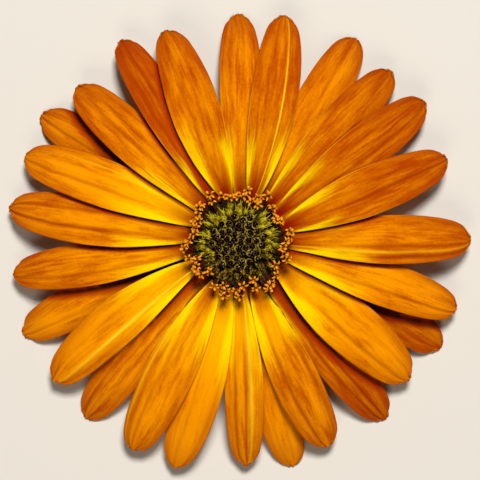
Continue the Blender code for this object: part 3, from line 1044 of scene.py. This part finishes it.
def open_stance(tree):
    """An open floret's length and lean."""
    lean = tree.value("Lean") + (0.92 - tree.reach) * 0.6 + tree.scatter(10.7, 0.30)
    lean = lean - tree.step(tree.luck(15.3), 0.78, 0.84) * 0.30
    return tree.value("Length") + tree.scatter(9.1, 1.1 * MM), lean


def open_tree():
    tree = FloretTree("open floret", BUDS + CLOSED, OPEN, around=15, rings=22)
    flutes = tree.cos(tree.turn * 5.0) * 0.10
    share, radius = tree.outline(tree.rise, OPEN_OUTLINE)
    radius = radius * OPEN_RADIUS_MM * MM * (1.0 + flutes)
    return tree.finish(tube(tree, share, radius, *open_stance(tree), OPEN_SWAY))


def crown_tree():
    tree = FloretTree("open floret crown", BUDS + CLOSED, OPEN, around=8, rings=10, each=LOBES)
    lobes = lobe_ring(tree, CROWN, *open_stance(tree), OPEN_SWAY)
    grains = {"Mesh": lobes, "Density": tree.value("Pollen per area"), "Seed": 4}
    grains = tree.node("GeometryNodeDistributePointsOnFaces", inputs=grains)
    grain = tree.node("GeometryNodeMeshIcoSphere", inputs={"Radius": 0.035 * MM, "Subdivisions": 1})
    grain = tree.store(grain, "pollen", 1.0)
    grains = tree.node("GeometryNodeInstanceOnPoints", inputs={"Points": grains, "Instance": grain})
    return tree.finish(tree.joined(lobes, grains))


open_rule, crown_rule = open_tree(), crown_tree()


# %% Open floret finishes
def open_finish():
    skin = Finish("open floret", Specular_IOR_Level=0.5)
    rise = skin.attribute("rise")
    flute = skin.cos(skin.attribute("turn") * 10.0 * FULL_TURN) * 0.5 + 0.5
    grain = skin.grain(2400.0, 3.0)
    foot = skin.blend(paint(84, 76, 6), paint(150, 142, 22), grain)
    # The lighter streaks along the flutes are a painted highlight on the dark tube.
    tube_colour_and_highlight = skin.blend(paint(34, 6, 8), paint(136, 56, 46), grain * flute)
    skin.colour = skin.blend(foot, tube_colour_and_highlight, skin.step(rise + grain * 0.10, 0.20, 0.30))
    skin.coat(168, 76, 14, skin.step(rise, 0.50, 0.56))
    skin.coat(44, 10, 12, skin.step(rise, 0.61, 0.68))
    pollen = skin.step(rise + grain * 0.7, 1.10, 1.26)
    skin.coat(252, 164, 22, pollen)
    return skin.done(0.28 + grain * 0.3, grain * (1.0 + pollen * 4.0) + flute * (1.0 - pollen), 0.03 * MM)


def lobe_finish():
    skin = Finish("floret lobe", Specular_IOR_Level=0.4, Specular_Tint=paint(255, 200, 90))
    rise = skin.attribute("rise")
    grain = skin.grain(3200.0, 3.0)
    # Each lobe runs from red-brown at its foot to pale yellow at its tip: partly its own colour, partly
    # painted shade at the foot and a painted highlight at the tip.
    skin.colour = skin.blend(paint(88, 20, 4), paint(248, 148, 20), skin.step(rise + grain * 0.5, 0.30, 0.80))
    tips = skin.step(rise + grain * 0.25, 0.70, 1.02)
    skin.coat(255, 216, 90, tips)
    skin.coat(255, 190, 40, skin.attribute("pollen"))
    return skin.done(0.40 + grain * 0.2, grain, 0.03 * MM)


open_skin, lobe_skin = open_finish(), lobe_finish()

# %% Grow the open florets
open_form = {"Length": 4.4 * MM, "Lean": 0.70}
crown_form = {"Lobe_length": 0.85 * MM, "Pollen_per_area": 14.0e6, "Material": lobe_skin, **open_form}
open_place = ("disc_florets_open", "open_floret")
grow_in_place("disc_florets_open_fine", *open_place, open_rule, Material=open_skin, **open_form)
grow_in_place("disc_floret_lobes_fine", *open_place, crown_rule, **crown_form)

# %% [markdown]
# ## The green parts behind
#
# Seen from the side or from below, the head sits in a cup. The receptacle is the solid green cushion that
# everything grows on. Two rows of narrow bracts hug it, which protected the head while it was a bud. They
# have pale papery margins, raised veins and short hairs. Below them is the ribbed, hairy stem with its fresh
# cut: a green skin, a ring of fine bundles, and white pith in the middle.
#
# The bracts are straps, so they start from the same kind of cage as the petals. The receptacle and the stem
# are turned shapes, so they start from a rolled grid, as the florets do.


# %% Short hairs
def with_hairs(tree, skin, chosen):
    """Scatters short bent hairs over the chosen faces."""
    shape = {"Vertices": 4, "Side Segments": 3, "Radius Top": 0.003 * MM, "Radius Bottom": 0.02 * MM}
    hair = tree.node("GeometryNodeMeshCone", inputs={**shape, "Depth": 0.4 * MM})
    height = tree.part(tree.node("GeometryNodeInputPosition"), "Z")
    hair = tree.moved(hair, tree.vector(height * height / (0.8 * MM)))
    hair = tree.store(hair, "hair", 1.0)
    spots = {"Mesh": skin, "Selection": chosen, "Density": tree.value("Hairs per area"), "Seed": 7}
    spots = tree.node("GeometryNodeDistributePointsOnFaces", inputs=spots)
    size = tree.node("FunctionNodeRandomValue", inputs={2: 0.5, 3: 1.2, "Seed": 3}, output=1)
    copies = {"Points": spots, "Instance": hair, "Rotation": spots.out("Rotation"), "Scale": size}
    return tree.joined(skin, tree.node("GeometryNodeInstanceOnPoints", inputs=copies))


print("helper: with_hairs")


# %% The rule of a bract
def bract_tree():
    tree = GeometryTree("bract")
    along, across = tree.attribute("along"), tree.attribute("across")
    side = tree.math("ABSOLUTE", across)
    midrib = tree.ridge(across, 0.0, 0.12) * tree.value("Midrib height")
    veins = tree.cos(across * 14.0) * tree.value("Vein height") * (1.0 - side)
    ripple = tree.noise(tree.vector(across * 2.0, along * 9.0, tree.value("Seed")), 1.0) - 0.5
    relief = side * side * ripple * tree.value("Ripple height") - midrib - veins
    relief = tree.scaled(tree.node("GeometryNodeInputNormal"), relief)
    closed = tree.thickened(tree.moved(tree.subdivided_cage(), relief))
    outer = tree.math("GREATER_THAN", tree.attribute("underside"), 0.5)
    return tree.finish(with_hairs(tree, closed, outer))


bract_rule = bract_tree()


# %% Bract finish
def bract_finish():
    """Green with fine veins, pale papery margins, a brown tip and pale hairs."""
    skin = Finish("bract", Specular_IOR_Level=0.35)
    side = skin.math("ABSOLUTE", skin.attribute("across"))
    along = skin.attribute("along")
    grain = skin.grain(900.0, 4.0)
    cells = skin.grain(5200.0, 2.0)
    light = skin.step(grain * 0.7 + cells * 0.4, 0.35, 0.75)
    skin.colour = skin.blend(paint(58, 84, 18), paint(112, 136, 42), light)
    veins = skin.cos(side * 28.0) * 0.5 + 0.5
    skin.coat(140, 158, 66, veins * 0.25)
    margin = skin.step(side + (cells - 0.5) * 0.10, 0.80, 0.95)
    skin.coat(206, 196, 142, margin * 0.8)
    tip = skin.step(along + side * 0.05, 0.93, 1.0)
    skin.coat(110, 58, 50, tip * 0.8)
    skin.coat(216, 218, 178, skin.attribute("hair"))
    return skin.done(0.5 + grain * 0.25, cells * 0.6 + veins + grain, 0.04 * MM)


bract_skin = bract_finish()

# %% Grow the bracts
BRACT_SEED_STEP = 5.1
BRACT_FORM = {
    "Fineness": 1,
    "Midrib_height": 0.10 * MM,
    "Vein_height": 0.025 * MM,
    "Ripple_height": 0.35 * MM,
    "Thickness": 0.22 * MM,
    "Hairs_per_area": 5.0e6,
}


def make_bract(seed, name):
    cage = strap_cage(name + "_fine", nodes[name])
    bract = grown(name + "_fine", cage, bract_rule, Seed=seed, Material=bract_skin, **BRACT_FORM)
    put_in_place(bract, name)
    return bract


bract_nodes = sorted(name for name in nodes if name.startswith("bract"))
bracts = [make_bract(BRACT_SEED_STEP * number, name) for number, name in enumerate(bract_nodes)]
print("bracts:", len(bracts), "with", sum(len(bract.data.polygons) for bract in bracts), "faces")

# %% [markdown]
# A turned piece is a grid rolled round the upright axis. Its outline is two curves of rise again, one for the
# radius and one for the height, both as shares of the plain solid's own box.


# %% The rule of a turned piece
TURNED_SIDES = 72


def turned_tree(name, stops, rings, ribs):
    tree = GeometryTree(name)
    grid = rolled_grid(tree, TURNED_SIDES, rings)
    turn, rise = tree.attribute("turn") * FULL_TURN, tree.attribute("rise")
    place, share = tree.outline(rise, stops)
    height = tree.value("Bottom") + place * tree.value("Height")
    ribbing = tree.cos(turn * ribs) * tree.value("Rib height") * tree.ridge(rise, 0.6, 0.2)
    radius = share * (tree.value("Radius") + ribbing)
    spot = tree.vector(radius * tree.cos(turn), radius * tree.sin(turn), height)
    skin = tree.node("GeometryNodeSetPosition", inputs={"Geometry": grid, "Position": spot})
    flank = tree.math("GREATER_THAN", tree.ridge(rise, 0.55, 0.15), 0.5)
    return tree.finish(with_hairs(tree, tree.welded(skin), flank))


def make_turned(name, slot, tree, **values):
    """Fits a turned piece into the box of the plain solid of that name."""
    low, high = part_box(name)
    size = {"Radius": (high[0] - low[0]) / 2, "Bottom": low[2], "Height": high[2] - low[2]}
    grow_in_place(name + "_fine", name, slot, tree, **size, **values)


print("helpers: turned_tree and make_turned")

# %% Receptacle
CUP_OUTLINE = (
    (0, 0, 0), (0.1, 0, 0.27), (0.3, 0.165, 0.58), (0.42, 0.44, 0.88), (0.5, 0.58, 1), (0.68, 0.866, 1),
    (0.76, 0.90, 0.84), (1, 1, 0),
)


def receptacle_finish():
    skin = Finish("receptacle", Specular_IOR_Level=0.3)
    rise = skin.attribute("rise")
    pits = skin.node("ShaderNodeTexVoronoi", inputs={"Vector": skin.place(), "Scale": 1000.0})
    grain = skin.grain(1200.0, 4.0)
    cup = skin.blend(paint(70, 94, 26), paint(118, 134, 52), grain)
    # The dome is dark olive as painted shade, so the gaps between the florets read dark.
    dome = skin.blend(paint(36, 26, 3), paint(92, 80, 10), grain * (1.0 - pits))
    skin.colour = skin.blend(cup, dome, skin.step(rise, 0.55, 0.66))
    skin.coat(216, 218, 178, skin.attribute("hair"))
    return skin.done(0.55 + grain * 0.25, grain + pits, 0.06 * MM)


cup_rule = turned_tree("receptacle", CUP_OUTLINE, rings=40, ribs=16.0)
cup_form = {"Rib_height": 0.04 * MM, "Hairs_per_area": 0.0, "Material": receptacle_finish()}
make_turned("receptacle", "flesh", cup_rule, **cup_form)

# %% Stem with its cut end
STEM_OUTLINE = (
    (0, 0, 0), (0.3, 0, 0.96), (0.34, 0.02, 1), (0.42, 0.2, 0.98), (0.62, 0.55, 0.98), (0.86, 1, 0.84),
    (1, 1, 0),
)


def stem_finish():
    skin = Finish("stem", Specular_IOR_Level=0.35)
    rise, turn = skin.attribute("rise"), skin.attribute("turn") * FULL_TURN
    grain = skin.grain(1100.0, 4.0)
    cells = skin.node("ShaderNodeTexVoronoi", inputs={"Vector": skin.place(), "Scale": 5000.0})
    ribs = skin.cos(turn * 12.0) * 0.5 + 0.5
    green = skin.blend(paint(74, 98, 28), paint(126, 146, 60), skin.step(grain * 0.6 + ribs * 0.4, 0.3, 0.8))
    pith = skin.blend(paint(196, 200, 150), paint(232, 232, 204), cells)
    bundles = skin.ridge(rise, 0.20, 0.025) * skin.step(skin.cos(turn * 16.0), 0.0, 0.6)
    cut = skin.blend(pith, paint(104, 122, 44), bundles)
    cut = skin.blend(cut, paint(122, 142, 58), skin.step(rise, 0.235, 0.26))
    skin.colour = skin.blend(cut, green, skin.step(rise, 0.29, 0.31))
    skin.coat(216, 218, 178, skin.attribute("hair"))
    return skin.done(0.45 + grain * 0.25, grain + cells * 0.5, 0.04 * MM)


stem_rule = turned_tree("stem", STEM_OUTLINE, rings=44, ribs=12.0)
stem_form = {"Rib_height": 0.05 * MM, "Hairs_per_area": 8.0e6, "Material": stem_finish()}
make_turned("stem", "green", stem_rule, **stem_form)

# %% [markdown]
# ## Floor, light and camera
#
# The flower lies on a plain pale floor. The key is a soft lamp, about 65 degrees up on the north side, where
# the first petal points, so each upper petal lays a soft shadow on the one below it. A weak warm fill stands
# opposite. One very small lamp overhead puts glints on the dark buds, beside the glints painted on their
# lobes. The camera looks straight down through a long lens.


# %% Floor
FLOOR_HALF = 2.0


def make_floor():
    mesh = bpy.data.meshes.new("floor")
    corners = [(x * FLOOR_HALF, y * FLOOR_HALF, 0) for x, y in ((-1, -1), (1, -1), (1, 1), (-1, 1))]
    mesh.from_pydata(corners, [], [(0, 1, 2, 3)])
    floor = new_object("floor", mesh)
    finish = Finish("floor", Roughness=0.8)
    finish.shader.inputs["Base Color"].default_value = (0.75, 0.74, 0.72, 1.0)
    mesh.materials.append(finish.material)


make_floor()
print("floor: plain and pale")


# %% Light
def add_area_light(name, place, size, power, colour):
    """A square lamp at place that faces the flower."""
    data = bpy.data.lights.new(name, "AREA")
    data.size = size
    data.energy = power
    data.color = colour
    lamp = new_object(name, data)
    lamp.location = place
    lamp.rotation_euler = (-Vector(place)).to_track_quat("-Z", "Y").to_euler()


def light_world(colour, strength):
    world = bpy.data.worlds.new("studio")
    world.use_nodes = True
    background = world.node_tree.nodes["Background"]
    background.inputs["Color"].default_value = (*colour, 1.0)
    background.inputs["Strength"].default_value = strength
    bpy.context.scene.world = world


add_area_light("key", (0.07, 0.38, 0.82), 0.20, 8.0, (1.0, 0.95, 0.86))
add_area_light("fill", (-0.10, -0.50, 0.60), 0.4, 1.4, (1.0, 0.85, 0.70))
add_area_light("spark", (0.03, 0.12, 0.46), 0.02, 0.12, (1.0, 0.98, 0.95))
light_world((1.0, 0.88, 0.76), 0.05)
print("light: key, fill, spark and a pale surround")

# %% Camera
LENS_MM = 200
SENSOR_MM = 36
FRAME_WIDTH = 67.5 * MM
PETAL_LEVEL = 3.0 * MM
FRAME_CENTRE = (0.28 * MM, 0.42 * MM)


def make_camera():
    data = bpy.data.cameras.new("camera")
    data.lens = LENS_MM
    data.sensor_width = SENSOR_MM
    data.clip_start = 0.01
    camera = new_object("camera", data)
    height = PETAL_LEVEL + FRAME_WIDTH * LENS_MM / SENSOR_MM
    camera.location = (*FRAME_CENTRE, height)
    bpy.context.scene.camera = camera
    return height


bpy.context.scene.view_settings.view_transform = "Standard"
print("camera height in mm:", round(make_camera() / MM, 1))
